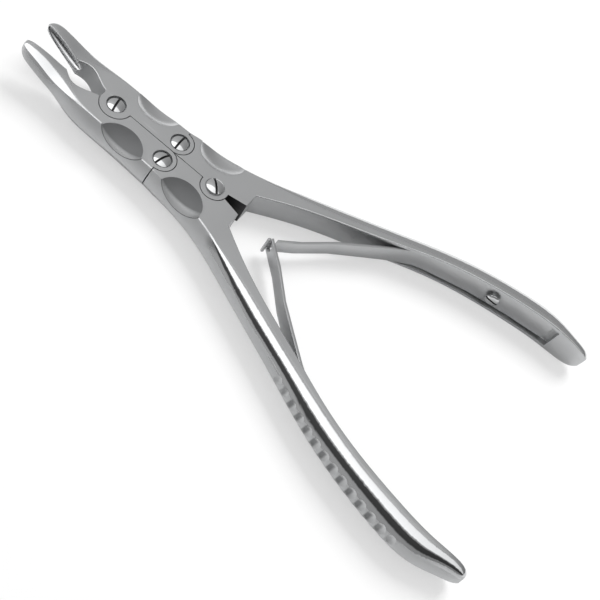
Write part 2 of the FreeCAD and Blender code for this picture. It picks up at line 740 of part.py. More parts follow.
def make_leaf(side):
    """One leaf spring: base in the channel, free arm, and its half of the tip link."""
    body = new_body(f"leaf_spring_{side}")
    sketches = [leaf_section(body, side, name) for name, *_ in LEAF_BASE_SECTIONS]
    reach = "-@leaf_link_gap - @leaf_end_trim" if side == "a" else "@leaf_link_gap"
    sketches.append(leaf_tip_section(body, side, reach))
    loft(body, f"leaf_{side}_length", sketches, ruled=True)
    if side == "a":
        neck_length = "2 * @leaf_link_gap + @neck_root + @leaf_thick / 2"
        neck = ("-@leaf_link_gap - @neck_root", neck_length, "@neck_half_height", "@neck_thick")
        leaf_box(body, "leaf_a_neck", "Additive", side, *neck)
        bar = ("@leaf_link_gap", "@leaf_thick", "@crossbar_half_height", "@leaf_thick")
        leaf_box(body, "leaf_a_crossbar", "Additive", side, *bar)
    else:
        slot_length = "2 * @leaf_link_gap + @slot_root + @overcut"
        slot = ("-@leaf_link_gap - @slot_root", slot_length, "@slot_half_height", "3 * @leaf_thick")
        leaf_box(body, "leaf_b_slot", "Subtractive", side, *slot)
    hole = ("@leaf_screw_shank_radius + @bore_clear", "-@overcut", "@leaf_thick + 2 * @overcut")
    screw_hole(body, f"leaf_{side}_hole", side, *hole)
    return body


def make_leaf_screw(side):
    """The small slotted screw that holds a leaf spring to its handle."""
    body = new_body(f"leaf_screw_{side}")
    sketch = new_sketch(body, f"leaf_screw_{side}_profile", "XZ_Plane")
    corners = (
        (NOUGHT, "-@leaf_screw_dome"),
        ("@leaf_screw_top_radius", "-@leaf_screw_dome"),
        ("@leaf_screw_head_radius", "-@head_seat_gap - @leaf_screw_rim"),
        ("@leaf_screw_head_radius", "-@head_seat_gap"),
        ("@leaf_screw_shank_radius", "-@head_seat_gap"),
        ("@leaf_screw_shank_radius", "@leaf_thick + @leaf_screw_length"),
        (NOUGHT, "@leaf_thick + @leaf_screw_length"),
    )
    numbers = [Vector(value(x), value(y), 0) for x, y in corners]
    count = len(numbers)
    for index in range(count):
        sketch.addGeometry(Part.LineSegment(numbers[index], numbers[(index + 1) % count]), False)
        dimension(sketch, "DistanceX", index, 1, corners[index][0])
        dimension(sketch, "DistanceY", index, 1, corners[index][1])
    for index in range(count):
        sketch.addConstraint(Sketcher.Constraint("Coincident", index, 2, (index + 1) % count, 1))
    feature = body.newObject("PartDesign::Revolution", f"leaf_screw_{side}_turned")
    feature.Profile = sketch
    feature.ReferenceAxis = (sketch, ["V_Axis"])
    feature.Angle = 360
    doc.recompute()
    reach = "@leaf_screw_head_radius + @overcut"
    sizes = (f"2 * ({reach})", "@slot_width", "@leaf_slot_depth + @overcut")
    corner = (f"-({reach})", "-@slot_width / 2", "-@leaf_screw_dome - @overcut")
    box(body, f"leaf_screw_{side}_slot", "Subtractive", corner, sizes, NOUGHT)
    body.Placement = screw_frame(side)
    sign = "" if side == "b" else "-"
    bind(body, "Placement.Base.x", "@leaf_screw_x")
    bind(body, "Placement.Base.y", f"{sign}@leaf_screw_y")
    return body


def settle(body):
    """Move a finished piece so that the origin is at the middle of the whole's underside."""
    along = "-(@jaw_tip_along + @handle_end_along) / 2"
    placed = dict(body.ExpressionEngine).get(".Placement.Base.x", NOUGHT)
    bind(body, "Placement.Base.x", f"{placed} + {along}")
    bind(body, "Placement.Base.z", "@handle_grip_half")


def make_all():
    """Build every piece."""
    bodies = [make_jaw("a"), make_jaw("b"), make_handle("a"), make_handle("b")]
    bodies.append(make_pivot_screw("front_pivot_screw", "front"))
    bodies.append(make_pivot_screw("link_screw_a", "link", "a"))
    bodies.append(make_pivot_screw("link_screw_b", "link", "b"))
    bodies.append(make_pivot_screw("rear_pivot_screw", "rear"))
    for side in ("a", "b"):
        bodies.append(make_leaf(side))
        bodies.append(make_leaf_screw(side))
    for body in bodies:
        settle(body)
    return bodies


def check_document():
    """Stop if any object failed to rebuild."""
    for item in doc.Objects:
        if "Invalid" in item.State or "Error" in item.State:
            raise RuntimeError(f"{item.Name} failed: {item.State}")


def write_parts(bodies):
    """Write each piece to its own file."""
    for body in bodies:
        shape = body.Shape
        if shape.isNull() or not shape.isValid() or len(shape.Solids) != 1:
            raise RuntimeError(f"{body.Label} has a bad shape: {len(shape.Solids)} solids")
        shape.exportStep(os.path.join("parts", body.Label + ".step"))
        print(f"{body.Label}: {shape.Volume:.1f} mm3")


os.makedirs("parts", exist_ok=True)
fill_sheet()
pieces = make_all()
doc.recompute()
check_document()
write_parts(pieces)
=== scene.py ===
"""Looks of a double-action bone rongeur: satin and polished steel, slotted screws, leaf springs, studio."""
import math

import bmesh
import bpy
from bpy.props import FloatProperty, FloatVectorProperty, PointerProperty
from mathutils import Matrix, Vector


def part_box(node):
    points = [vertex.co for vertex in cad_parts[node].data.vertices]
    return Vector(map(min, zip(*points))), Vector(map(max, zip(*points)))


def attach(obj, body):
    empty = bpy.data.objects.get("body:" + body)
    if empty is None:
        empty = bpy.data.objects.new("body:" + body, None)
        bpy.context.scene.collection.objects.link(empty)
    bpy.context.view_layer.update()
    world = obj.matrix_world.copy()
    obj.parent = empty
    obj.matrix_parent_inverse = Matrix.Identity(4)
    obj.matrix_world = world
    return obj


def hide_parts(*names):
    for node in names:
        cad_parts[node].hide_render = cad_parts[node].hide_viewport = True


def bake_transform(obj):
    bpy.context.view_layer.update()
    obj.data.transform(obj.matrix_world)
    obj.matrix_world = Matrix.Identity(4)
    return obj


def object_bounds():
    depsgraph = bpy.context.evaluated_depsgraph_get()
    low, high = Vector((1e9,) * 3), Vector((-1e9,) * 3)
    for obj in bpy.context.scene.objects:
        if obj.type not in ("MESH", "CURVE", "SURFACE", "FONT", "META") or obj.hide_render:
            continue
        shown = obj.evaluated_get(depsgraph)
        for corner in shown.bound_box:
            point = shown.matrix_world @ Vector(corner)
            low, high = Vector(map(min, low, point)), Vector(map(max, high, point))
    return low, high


bl_info = {
    "name": "Bone Rongeur",
    "version": (1, 0, 0),
    "blender": (4, 5, 0),
    "location": "3D View > Sidebar > Rongeur",
    "description": "Dresses a double-action bone rongeur in steel and sets up its studio",
    "category": "Object",
}

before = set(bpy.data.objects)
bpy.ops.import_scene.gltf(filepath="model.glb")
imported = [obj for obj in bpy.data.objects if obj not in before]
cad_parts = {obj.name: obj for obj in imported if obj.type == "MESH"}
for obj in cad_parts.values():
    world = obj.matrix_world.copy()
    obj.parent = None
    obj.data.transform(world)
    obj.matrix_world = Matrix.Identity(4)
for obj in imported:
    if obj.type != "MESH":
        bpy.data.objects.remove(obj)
CAD_BOX = [list(corner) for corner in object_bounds()]
FLOOR_Z = CAD_BOX[0][2]
MM = 0.001
SHARP_ANGLE = math.radians(32)


def linear(code):
    """Turn an sRGB hex colour into linear red, green, blue and alpha."""
    channels = [int(code[place:place + 2], 16) / 255 for place in (1, 3, 5)]
    return [c / 12.92 if c <= 0.04045 else ((c + 0.055) / 1.055) ** 2.4 for c in channels] + [1.0]


# Millimetres from the rear pivot's axis at mid thickness, as the photograph was measured
REAR_CROWN = 5.42
LEAF_LINK = -20.9
LEAF_SLOPE = math.radians(41.5)
LEAF_SCREW = (-79.0, 36.05)
LEAF_SCREW_LEAN = math.radians(13.6)

# A pivot screw's foot from mid thickness, its head's rim and crown above the seat, and its dome's steps
SCREW_FOOT = -4.15
HEAD_RIM = 0.75
HEAD_CROWN = 1.55
DOME_STEPS = 9

# How far the corners of every turned screw are broken
CORNER_BREAK = 0.12

# A leaf screw's profile of radius and height, and the floor and top of its slot
LEAF_SCREW_PROFILE = (
    (0, -3.05), (1.1, -3.05), (1.1, 0.05), (2.25, 0.05), (2.25, 0.28), (1.7, 0.62), (1.0, 0.69), (0, 0.7),
)
LEAF_SCREW_SLOT = (0.2, 0.7)

# Each pivot screw: place, direction of its slot in degrees, shank radius, height of the head's seat
PIVOT_SCREWS = {
    "front_pivot_screw": ((34.0, 0.0), 102.7, 1.5, 3.13),
    "link_screw_a": ((15.0, -3.9), 93.3, 1.3, 3.13),
    "link_screw_b": ((15.0, 3.9), 75.2, 1.3, 3.13),
    "rear_pivot_screw": ((0.0, 0.0), 134.5, 1.6, 3.88),
}

# The strip of a leaf spring: distance along, middle of its thickness, thickness across, half height
LEAF_PATH = (
    (-97.9, 40.37, 0.88, 2.6), (-97.3, 40.35, 0.88, 3.3), (-96.0, 40.26, 0.88, 3.7),
    (-86.0, 39.02, 0.88, 4.0), (-72.0, 36.02, 0.88, 3.95), (-58.0, 31.42, 0.9, 3.7),
    (-54.5, 29.85, 1.0, 3.6), (-51.0, 27.45, 1.12, 3.54), (-47.0, 24.2, 1.18, 3.2),
    (-40.0, 18.13, 1.2, 2.95), (-34.0, 12.9, 1.2, 2.8),
)
LEAF_ROUNDING = 0.2

# The leaf's straight part: thickness, where it starts and ends as seen from the link, half heights there
STRAIGHT_THICKNESS = 0.9
STRAIGHT_START = -8.0
STRAIGHT_END = {"a": -1.1, "b": -1.4}
START_HALF_HEIGHT = 2.65
END_HALF_HEIGHT = 2.6

# The hooked tips as blocks, X along the leaf past the link: low corner, high corner, edge radius
TIP_BLOCKS = {
    "a": (((-2.2, -0.36, -0.75), (1.3, 0.36, 0.75), 0.15), ((0.75, -0.45, -3.3), (1.65, 0.45, 3.3), 0.3)),
    "b": (((-1.9, -0.44, 1.05), (0.75, 0.44, 2.55), 0.2), ((-1.9, -0.44, -2.55), (0.75, 0.44, -1.05), 0.2)),
}


def in_metres(millimetres):
    """The same numbers in metres."""
    return [value * MM for value in millimetres]


def rear_pivot():
    """The rear pivot's axis at mid thickness, in metres."""
    low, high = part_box("rear_pivot_screw")
    return Vector(((low[0] + high[0]) / 2, (low[1] + high[1]) / 2, high[2] - REAR_CROWN * MM))


class RongeurSizes(bpy.types.PropertyGroup):
    """Sizes of the small parts that are modelled here."""

    edge_radius: FloatProperty(
        name="Edge radius", description="How far the sharp edges are broken",
        default=0.1 * MM, min=0, max=0.3 * MM, unit="LENGTH", precision=5,
    )
    head_radius: FloatProperty(
        name="Head radius", description="Radius of the pivot screws' heads",
        default=2.5 * MM, min=2 * MM, max=2.6 * MM, unit="LENGTH", precision=5,
    )
    slot_width: FloatProperty(
        name="Slot width", description="Width of the screwdriver slots",
        default=0.62 * MM, min=0.4 * MM, max=1.2 * MM, unit="LENGTH", precision=5,
    )
    slot_depth: FloatProperty(
        name="Slot depth", description="Depth of the screwdriver slots below the head's crown",
        default=0.85 * MM, min=0.3 * MM, max=1.2 * MM, unit="LENGTH", precision=5,
    )
    grain_spacing: FloatProperty(
        name="Grain spacing", description="Distance between the lines that the satin belt leaves",
        default=0.35 * MM, min=0.05 * MM, max=2 * MM, unit="LENGTH", precision=5,
    )


class RongeurFinish(bpy.types.PropertyGroup):
    """Colours and gloss of the steel and the studio."""

    steel: FloatVectorProperty(
        name="Steel", description="Colour of the stainless steel", subtype="COLOR", size=4,
        default=linear("#C6C7C8"), min=0, max=1,
    )
    spring_steel: FloatVectorProperty(
        name="Spring steel", description="Colour of the leaf springs' strip steel",
        subtype="COLOR", size=4, default=linear("#B9BABB"), min=0, max=1,
    )
    satin_roughness: FloatProperty(
        name="Satin roughness", description="Roughness of the satin faces",
        default=0.4, min=0, max=1, subtype="FACTOR",
    )
    polished_roughness: FloatProperty(
        name="Polished roughness", description="Roughness of the polished backs and screw heads",
        default=0.07, min=0, max=1, subtype="FACTOR",
    )
    # Painted shade: this darker colour stands in for shade on the flutes and on one half of each scallop
    flute: FloatVectorProperty(
        name="Flutes", description="Colour of the darker flutes and of the scallops' dull halves",
        subtype="COLOR", size=4, default=linear("#8E8F90"), min=0, max=1,
    )
    # Painted shade: this dark colour stands in for the shade inside the slots and in the handles' crotch
    slot: FloatVectorProperty(
        name="Slots", description="Colour of the slots' oxidised steel and of the handles' crotch",
        subtype="COLOR", size=4, default=linear("#4A4A4B"), min=0, max=1,
    )
    floor: FloatVectorProperty(
        name="Floor", description="Colour of the studio floor", subtype="COLOR", size=4,
        default=linear("#F4F4F4"), min=0, max=1,
    )


def sizes():
    return bpy.context.scene.rongeur_sizes


def finish():
    return bpy.context.scene.rongeur_finish


def add_node(tree, kind, inputs=None, **settings):
    """Add a node, set its properties, and give each named input a value or a link."""
    node = tree.nodes.new(kind)
    for name, value in settings.items():
        setattr(node, name, value)
    for name, value in (inputs or {}).items():
        if isinstance(value, bpy.types.NodeSocket):
            tree.links.new(value, node.inputs[name])
        else:
            node.inputs[name].default_value = value
    return node


def new_material(name):
    """An empty node material with its output node."""
    material = bpy.data.materials.new(name)
    material.use_nodes = True
    tree = material.node_tree
    tree.nodes.clear()
    return material, tree, add_node(tree, "ShaderNodeOutputMaterial")


def ramp(tree, factor, stops):
    """A colour ramp with grey stops, each a pair of position and level."""
    node = add_node(tree, "ShaderNodeValToRGB", {"Fac": factor})
    elements = node.color_ramp.elements
    while len(elements) < len(stops):
        elements.new(0.5)
    for element, (position, level) in zip(elements, stops):
        element.position = position
        element.color = (level, level, level, 1)
    return node.outputs["Color"]


# Roughness of the satin parts by the upward part of the normal: flanks are coarser than flats
SATIN_LEVELS = ((0.0, 0.55), (0.8, 0.55), (0.96, 0.4))
FLANK_ROUGHNESS = 0.52
FLUTE_ROUGHNESS = 0.3
DARK_FLUTE_ROUGHNESS = 0.75
CUP_ROUGHNESS = 0.25
SLOT_ROUGHNESS = 0.55

# The grain's scale along X against across, and its depth in millimetres
GRAIN_STRETCH = 0.08
GRAIN_DEPTH = 0.02

# Worn patches to the metre, and how far they change the roughness either way
PATCHES = 90.0
PATCH_CHANGE = 0.03

# Upward part of the normal where a crown's polish starts, is full, starts to fade and has faded
CROWN_LEANS = (0.53, 0.56, 0.985, 0.998)

# Sideways part of the normal where the painted shade in a flute on side b starts to darken it and where it
# is fully dark
DARK_LEANS = (0.05, 0.2)

# Where the buffed crowns fade in: along a jaw, along a handle, and away from mid thickness, in millimetres
JAW_BUFFED = (41.0, 44.5)
HANDLE_BUFFED = (-7.0, -12.0)
BUFFED_HEIGHT = (1.6, 1.8)

# The crotch's upright walls, which get painted shade: half width, place behind the rear pivot, most upward
# part of the normal
CROTCH_HALF_WIDTH = 2.3
CROTCH_START = -3.0
UPRIGHT = 0.3

# Hollows, mirrored onto side b, in millimetres from the rear pivot: centre, radii, turn in degrees
JAW_FLUTE = ((25.7, 9.4, 9.4), (9.2, 8.0, 7.9), (0, 0, 0))
HANDLE_FLUTE = ((4.4, 10.4, 9.4), (9.2, 8.0, 7.9), (0, 0, -8))
CUP = ((54.7, 3.194, 3.75), (7.0, 2.3, 2.45), (0, -15, 8.5))

# How far from a hollow's wall its finish reaches, as a share of its radii
HOLLOW_MARGIN = 0.03

# The scallops of the grip: centre of their arc, its inner reach, first angle, pitch and count
GRIP_CENTRE = (-113.42, -108.27)
GRIP_REACH = 153.0
FIRST_SCALLOP = math.radians(8.4)
SCALLOP_PITCH = math.radians(1.36)
SCALLOP_COUNT = 14

# The painted shade on one half of a scallop, first where it is absent, then where it is full: shares of the
# pitch at its start and end, and distances from mid thickness at its top and foot
FACET_START = (0.42, 0.58)
FACET_END = (0.95, 0.85)
FACET_TOP = (2.3, 1.7)
FACET_FOOT = (-0.4, 0.4)

# How many scallops the painted shade takes to fade in at each end of the row
SCALLOP_FADE = 2


def faded(tree, value, start, end):
    """0 at the start value, 1 at the end value and beyond."""
    node = add_node(tree, "ShaderNodeMapRange", {"Value": value, "From Min": start, "From Max": end})
    return node.outputs["Result"]


def worked_out(tree, operation, *values):
    """The result of a sum on values."""
    return add_node(tree, "ShaderNodeMath", dict(enumerate(values)), operation=operation).outputs["Value"]


def mirrored_place(tree, coords):
    """Millimetres from the rear pivot, with side a mirrored onto side b."""
    shifted = add_node(
        tree, "ShaderNodeVectorMath", {0: coords.outputs["Object"], 1: rear_pivot()}, operation="SUBTRACT"
    )
    scaled = add_node(
        tree, "ShaderNodeVectorMath", {0: shifted.outputs["Vector"], "Scale": 1 / MM}, operation="SCALE"
    )
    parts = add_node(tree, "ShaderNodeSeparateXYZ", {"Vector": scaled.outputs["Vector"]})
    side = worked_out(tree, "ABSOLUTE", parts.outputs["Y"])
    return add_node(
        tree, "ShaderNodeCombineXYZ", {"X": parts.outputs["X"], "Y": side, "Z": parts.outputs["Z"]}
    ).outputs["Vector"]


def on_hollow(tree, place, hollow):
    """1 on the wall of a hollow and 0 elsewhere."""
    centre, radii, turn = hollow
    inside = add_node(
        tree, "ShaderNodeMapping",
        {"Vector": place, "Location": centre, "Rotation": [math.radians(a) for a in turn], "Scale": radii},
        vector_type="TEXTURE",
    )
    distance = add_node(tree, "ShaderNodeVectorMath", {0: inside.outputs["Vector"]}, operation="LENGTH")
    return worked_out(tree, "COMPARE", distance.outputs["Value"], 1.0, HOLLOW_MARGIN)


def product(tree, *factors):
    """The product of several values."""
    result = factors[0]
    for factor in factors[1:]:
        result = worked_out(tree, "MULTIPLY", result, factor)
    return result


def mixed(tree, factor, first, second):
    """A value between two values."""
    return add_node(tree, "ShaderNodeMix", {"Factor": factor, "A": first, "B": second}).outputs["Result"]


def tinted(tree, factor, first, second):
    """A colour between two colours. The node's colour sockets share their names with its value sockets."""
    node = add_node(tree, "ShaderNodeMix", data_type="RGBA")
    for socket, value in zip((node.inputs[0], node.inputs[6], node.inputs[7]), (factor, first, second)):
        if isinstance(value, bpy.types.NodeSocket):
            tree.links.new(value, socket)
        else:
            socket.default_value = value
    return node.outputs[2]


def shaded_scallop_halves(tree, parts):
    """Where painted shade falls: 1 on the half of each scallop that faces the grip's end, 0 elsewhere."""
    along = worked_out(tree, "SUBTRACT", parts.outputs["X"], GRIP_CENTRE[0])
    across = worked_out(tree, "SUBTRACT", parts.outputs["Y"], GRIP_CENTRE[1])
    flat = add_node(tree, "ShaderNodeCombineXYZ", {"X": along, "Y": across})
    reach = add_node(tree, "ShaderNodeVectorMath", {0: flat.outputs["Vector"]}, operation="LENGTH")
    angle = worked_out(tree, "ARCTAN2", along, across)
    count = worked_out(tree, "MULTIPLY_ADD", angle, 1 / SCALLOP_PITCH, 0.5 - FIRST_SCALLOP / SCALLOP_PITCH)
    share = worked_out(tree, "FRACT", count)
    height = worked_out(tree, "ABSOLUTE", parts.outputs["Z"])
    return product(
        tree, faded(tree, share, *FACET_START), faded(tree, share, *FACET_END),
        faded(tree, height, *FACET_TOP), faded(tree, height, *FACET_FOOT),
        faded(tree, count, 0, SCALLOP_FADE), faded(tree, count, SCALLOP_COUNT, SCALLOP_COUNT - SCALLOP_FADE),
        worked_out(tree, "GREATER_THAN", reach.outputs["Value"], GRIP_REACH),
    )


def steel(name, paint, grain=0.1):
    """Stainless steel; paint takes the tree and the coordinates and gives colour and roughness."""
    material, tree, output = new_material(name)
    coords = add_node(tree, "ShaderNodeTexCoord")
    tint, level = paint(tree, coords)
    # A belt leaves fine lines along the rongeur's length, which break the gloss into a soft sheen
    stretched = add_node(
        tree, "ShaderNodeMapping", {"Vector": coords.outputs["Object"], "Scale": (GRAIN_STRETCH, 1, 1)}
    )
    lines = add_node(
        tree, "ShaderNodeTexNoise",
        {"Vector": stretched.outputs["Vector"], "Scale": 1 / sizes().grain_spacing, "Detail": 2},
    )
    # Handling and washing leave patches that are a little duller or brighter, about 11 mm across
    clouds = add_node(
        tree, "ShaderNodeTexNoise", {"Vector": coords.outputs["Object"], "Scale": PATCHES, "Detail": 3}
    )
    wear = add_node(
        tree, "ShaderNodeMapRange",
        {"Value": clouds.outputs["Fac"], "From Min": 0.3, "From Max": 0.7,
         "To Min": -PATCH_CHANGE, "To Max": PATCH_CHANGE},
    )
    roughness = add_node(
        tree, "ShaderNodeMath", {0: level, 1: wear.outputs["Result"]}, operation="ADD", use_clamp=True
    )
    edges = add_node(tree, "ShaderNodeBevel", {"Radius": sizes().edge_radius}, samples=4)
    bump = add_node(
        tree, "ShaderNodeBump",
        {"Height": lines.outputs["Fac"], "Strength": grain, "Distance": GRAIN_DEPTH * MM,
         "Normal": edges.outputs["Normal"]},
    )
    shader = add_node(
        tree, "ShaderNodeBsdfPrincipled",
        {"Base Color": tint, "Metallic": 1.0, "Roughness": roughness.outputs["Value"],
         "Normal": bump.outputs["Normal"]},
    )
    tree.links.new(shader.outputs["BSDF"], output.inputs["Surface"])
    return material


def dress(obj, material):
    """Give a piece one material in every slot."""
    if not obj.data.materials:
        obj.data.materials.append(material)
    for index in range(len(obj.data.materials)):
        obj.data.materials[index] = material


def body_paint(tree, coords, zone, flute):
    """Colour and roughness of a forged body, then its place whole and in parts, and its normal's lean."""
    polished = finish().polished_roughness
    place = mirrored_place(tree, coords)
    parts = add_node(tree, "ShaderNodeSeparateXYZ", {"Vector": place})
    normal = add_node(tree, "ShaderNodeSeparateXYZ", {"Vector": coords.outputs["Normal"]})
    lean = worked_out(tree, "ABSOLUTE", normal.outputs["Z"])
    # Only the crowns are buffed bright: the scallops lie lower, on the flank, and stay satin
    height = worked_out(tree, "ABSOLUTE", parts.outputs["Z"])
    raised = faded(tree, height, *BUFFED_HEIGHT)
    buffed = product(tree, raised, faded(tree, parts.outputs["X"], *zone))
    levels = (FLANK_ROUGHNESS, polished, polished, finish().satin_roughness)
    crown_levels = ((0.0, FLANK_ROUGHNESS), *zip(CROWN_LEANS, levels))
    level = mixed(tree, buffed, ramp(tree, lean, SATIN_LEVELS), ramp(tree, lean, crown_levels))
    # The photograph shows the flutes on side b darker than their shape alone makes them here
    hollow = on_hollow(tree, place, flute)
    # Painted shade: flute walls whose normal leans towards side b take the darker flute colour
    dark = product(tree, hollow, faded(tree, normal.outputs["Y"], *DARK_LEANS))
    level = mixed(tree, dark, mixed(tree, hollow, level, FLUTE_ROUGHNESS), DARK_FLUTE_ROUGHNESS)
    tint = tinted(tree, dark, list(finish().steel), list(finish().flute))
    return tint, level, place, parts, lean


def jaw_paint(tree, coords):
    """Forged jaws: satin flats, buffed crowns and a buffed cup in the bite."""
    tint, level, place, _, _ = body_paint(tree, coords, JAW_BUFFED, JAW_FLUTE)
    # The cup looks bright in the photograph, but not mirror-sharp
    return tint, mixed(tree, on_hollow(tree, place, CUP), level, CUP_ROUGHNESS)


def handle_paint(tree, coords):
    """Forged handles: satin flats, buffed crowns, painted shade on half of each scallop of the grip and in
    the crotch.
    """
    tint, level, _, parts, lean = body_paint(tree, coords, HANDLE_BUFFED, HANDLE_FLUTE)
    close = worked_out(tree, "LESS_THAN", parts.outputs["Y"], CROTCH_HALF_WIDTH)
    behind = worked_out(tree, "LESS_THAN", parts.outputs["X"], CROTCH_START)
    upright = worked_out(tree, "LESS_THAN", lean, UPRIGHT)
    crotch = product(tree, close, behind, upright)
    # Painted shade: the half of each scallop that faces the grip's end takes the darker flute colour
    tint = tinted(tree, shaded_scallop_halves(tree, parts), tint, list(finish().flute))
    # The narrow crotch is near black in the photograph
    # Painted shade: the crotch's upright walls take the dark slot colour
    return tinted(tree, crotch, tint, list(finish().slot)), level


def screw_steel():
    """Stainless steel turned and polished: small bright heads."""
    polished = finish().polished_roughness
    return steel("polished_screw_steel", lambda tree, coords: (list(finish().steel), polished), grain=0.03)


def slot_shade_steel():
    """The milled floor and walls of a slot, painted dark and dull as shade, so the slot reads as a dark
    line.
    """
    material, tree, output = new_material("painted_slot_shade")
    shader = add_node(
        tree, "ShaderNodeBsdfPrincipled",
        {"Base Color": list(finish().slot), "Metallic": 1.0, "Roughness": SLOT_ROUGHNESS},
    )
    tree.links.new(shader.outputs["BSDF"], output.inputs["Surface"])
    return material


def finished(shape, name, materials, matrix):
    """Turn a bmesh into an object in the row frame."""
    mesh = bpy.data.meshes.new(name)
    bmesh.ops.recalc_face_normals(shape, faces=shape.faces)
    shape.to_mesh(mesh)
    shape.free()
    for material in materials:
        mesh.materials.append(material)
    mesh.shade_smooth()
    mesh.set_sharp_from_angle(angle=SHARP_ANGLE)
    obj = bpy.data.objects.new(name, mesh)
    bpy.context.scene.collection.objects.link(obj)
    mesh.transform(matrix)
    return obj


def add_block(shape, low, high, radius):
    """Add a block between two corners with its edges rounded."""
    size = Vector(high) - Vector(low)
    matrix = Matrix.Translation((Vector(low) + Vector(high)) / 2) @ Matrix.Diagonal((*size, 1))
    verts = bmesh.ops.create_cube(shape, size=1, matrix=matrix)["verts"]
    edges = {edge for vert in verts for edge in vert.link_edges}
    bmesh.ops.bevel(shape, geom=list(edges), offset=radius, segments=3, profile=0.5, affect="EDGES")


def broken_corners(points, radius):
    """Round each inner corner of a profile of (radius, height) points with two short chords."""
    outline = [Vector(points[0])]
    for before, corner, after in zip(points, points[1:], points[2:]):
        corner = Vector(corner)
        start = corner + (Vector(before) - corner).normalized() * radius
        end = corner + (Vector(after) - corner).normalized() * radius
        outline += [start, (start + end) * 0.25 + corner * 0.5, end]
    return outline + [Vector(points[-1])]


def turned(shape, profile, segments=72):
    """Turn a profile of (radius, height) points, lowest first, about Z."""
    rings = []
    for radius, height in profile:
        count = segments if radius > 0 else 1
        angles = [2 * math.pi * step / segments for step in range(count)]
        rings.append([shape.verts.new((radius * math.cos(a), radius * math.sin(a), height)) for a in angles])
    for lower, upper in zip(rings, rings[1:]):
        for step in range(segments):
            after = (step + 1) % segments
            corners = [
                lower[step % len(lower)], lower[after % len(lower)],
                upper[after % len(upper)], upper[step % len(upper)],
            ]
            shape.faces.new(list(dict.fromkeys(corners)))


def mill_slot(obj, width, floor, top, reach):
    """Cut a slot along X through the head of a screw that stands on Z, and mark its faces."""
    cutter_shape = bmesh.new()
    middle = Matrix.Translation((0, 0, (floor + top) / 2))
    matrix = middle @ Matrix.Diagonal((2 * reach, width, top - floor, 1))
    bmesh.ops.create_cube(cutter_shape, size=1, matrix=matrix)
    cutter_mesh = bpy.data.meshes.new("slot_cutter")
    cutter_shape.to_mesh(cutter_mesh)
    cutter_shape.free()
    for material in obj.data.materials:
        cutter_mesh.materials.append(material)
    # The slot's new faces take the second material, the painted slot shade
    cutter_mesh.polygons.foreach_set("material_index", [1] * len(cutter_mesh.polygons))
    cutter = bpy.data.objects.new("slot_cutter", cutter_mesh)
    bpy.context.scene.collection.objects.link(cutter)
    modifier = obj.modifiers.new("slot", "BOOLEAN")
    modifier.object = cutter
    modifier.solver = "EXACT"
    modifier.operation = "DIFFERENCE"
    bpy.context.view_layer.update()
    evaluated = obj.evaluated_get(bpy.context.evaluated_depsgraph_get())
    slotted = bpy.data.meshes.new_from_object(evaluated)
    obj.modifiers.clear()
    obj.data = slotted
    bpy.data.objects.remove(cutter)
    bpy.data.meshes.remove(cutter_mesh)
    slotted.set_sharp_from_angle(angle=SHARP_ANGLE)


def make_screw(name, profile, slot, matrix, body, replaced):
    """A turned, slotted screw in place of the plain one; slot gives its floor and the crown."""
    shape = bmesh.new()
    turned(shape, broken_corners(profile, CORNER_BREAK * MM))
    obj = finished(shape, name, (screw_steel(), slot_shade_steel()), Matrix())
    reach = max(radius for radius, _ in profile) + MM
    mill_slot(obj, sizes().slot_width, slot[0], slot[1] + MM, reach)
    obj.data.transform(matrix)
    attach(obj, body)
    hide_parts(replaced)


class RONGEUR_OT_bodies(bpy.types.Operator):
    """Finish the jaws and handles in satin and polished steel"""

    bl_idname = "rongeur.bodies"
    bl_label = "Jaws and handles"

    def execute(self, context):
        jaws = steel("forged_jaw_steel", jaw_paint)
        handles = steel("forged_handle_steel", handle_paint)
        materials = {"jaw_a": jaws, "jaw_b": jaws, "handle_a": handles, "handle_b": handles}
        for name, material in materials.items():
            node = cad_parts[name]
            dress(node, material)
        return {"FINISHED"}


BODY_OF_SCREW = {
    "front_pivot_screw": "jaw_b_body",
    "link_screw_a": "handle_a_body",
    "link_screw_b": "handle_b_body",
    "rear_pivot_screw": "handle_b_body",
}


class RONGEUR_OT_screws(bpy.types.Operator):
    """Turn and slot the four pivot screws"""

    bl_idname = "rongeur.screws"
    bl_label = "Pivot screws"

    def execute(self, context):
        origin = rear_pivot()
        head = sizes().head_radius
        for name, (place, direction, shank, seat) in PIVOT_SCREWS.items():
            shank, seat = shank * MM, seat * MM
            rim = seat + HEAD_RIM * MM
            crown = seat + HEAD_CROWN * MM
            rise = crown - rim
            dome_radius = (head ** 2 + rise ** 2) / (2 * rise)
            foot = SCREW_FOOT * MM
            profile = [(0, foot), (shank, foot), (shank, seat), (head, seat), (head, rim)]
            for step in range(1, DOME_STEPS):
                radius = head * (1 - step / DOME_STEPS)
                profile.append((radius, crown - dome_radius + math.sqrt(dome_radius ** 2 - radius ** 2)))
            profile.append((0, crown))
            matrix = Matrix.Translation(origin + Vector((*place, 0)) * MM)
            matrix = matrix @ Matrix.Rotation(math.radians(direction), 4, "Z")
            slot = (crown - sizes().slot_depth, crown)
            make_screw(f"slotted_{name}", profile, slot, matrix, BODY_OF_SCREW[name], name)
        return {"FINISHED"}


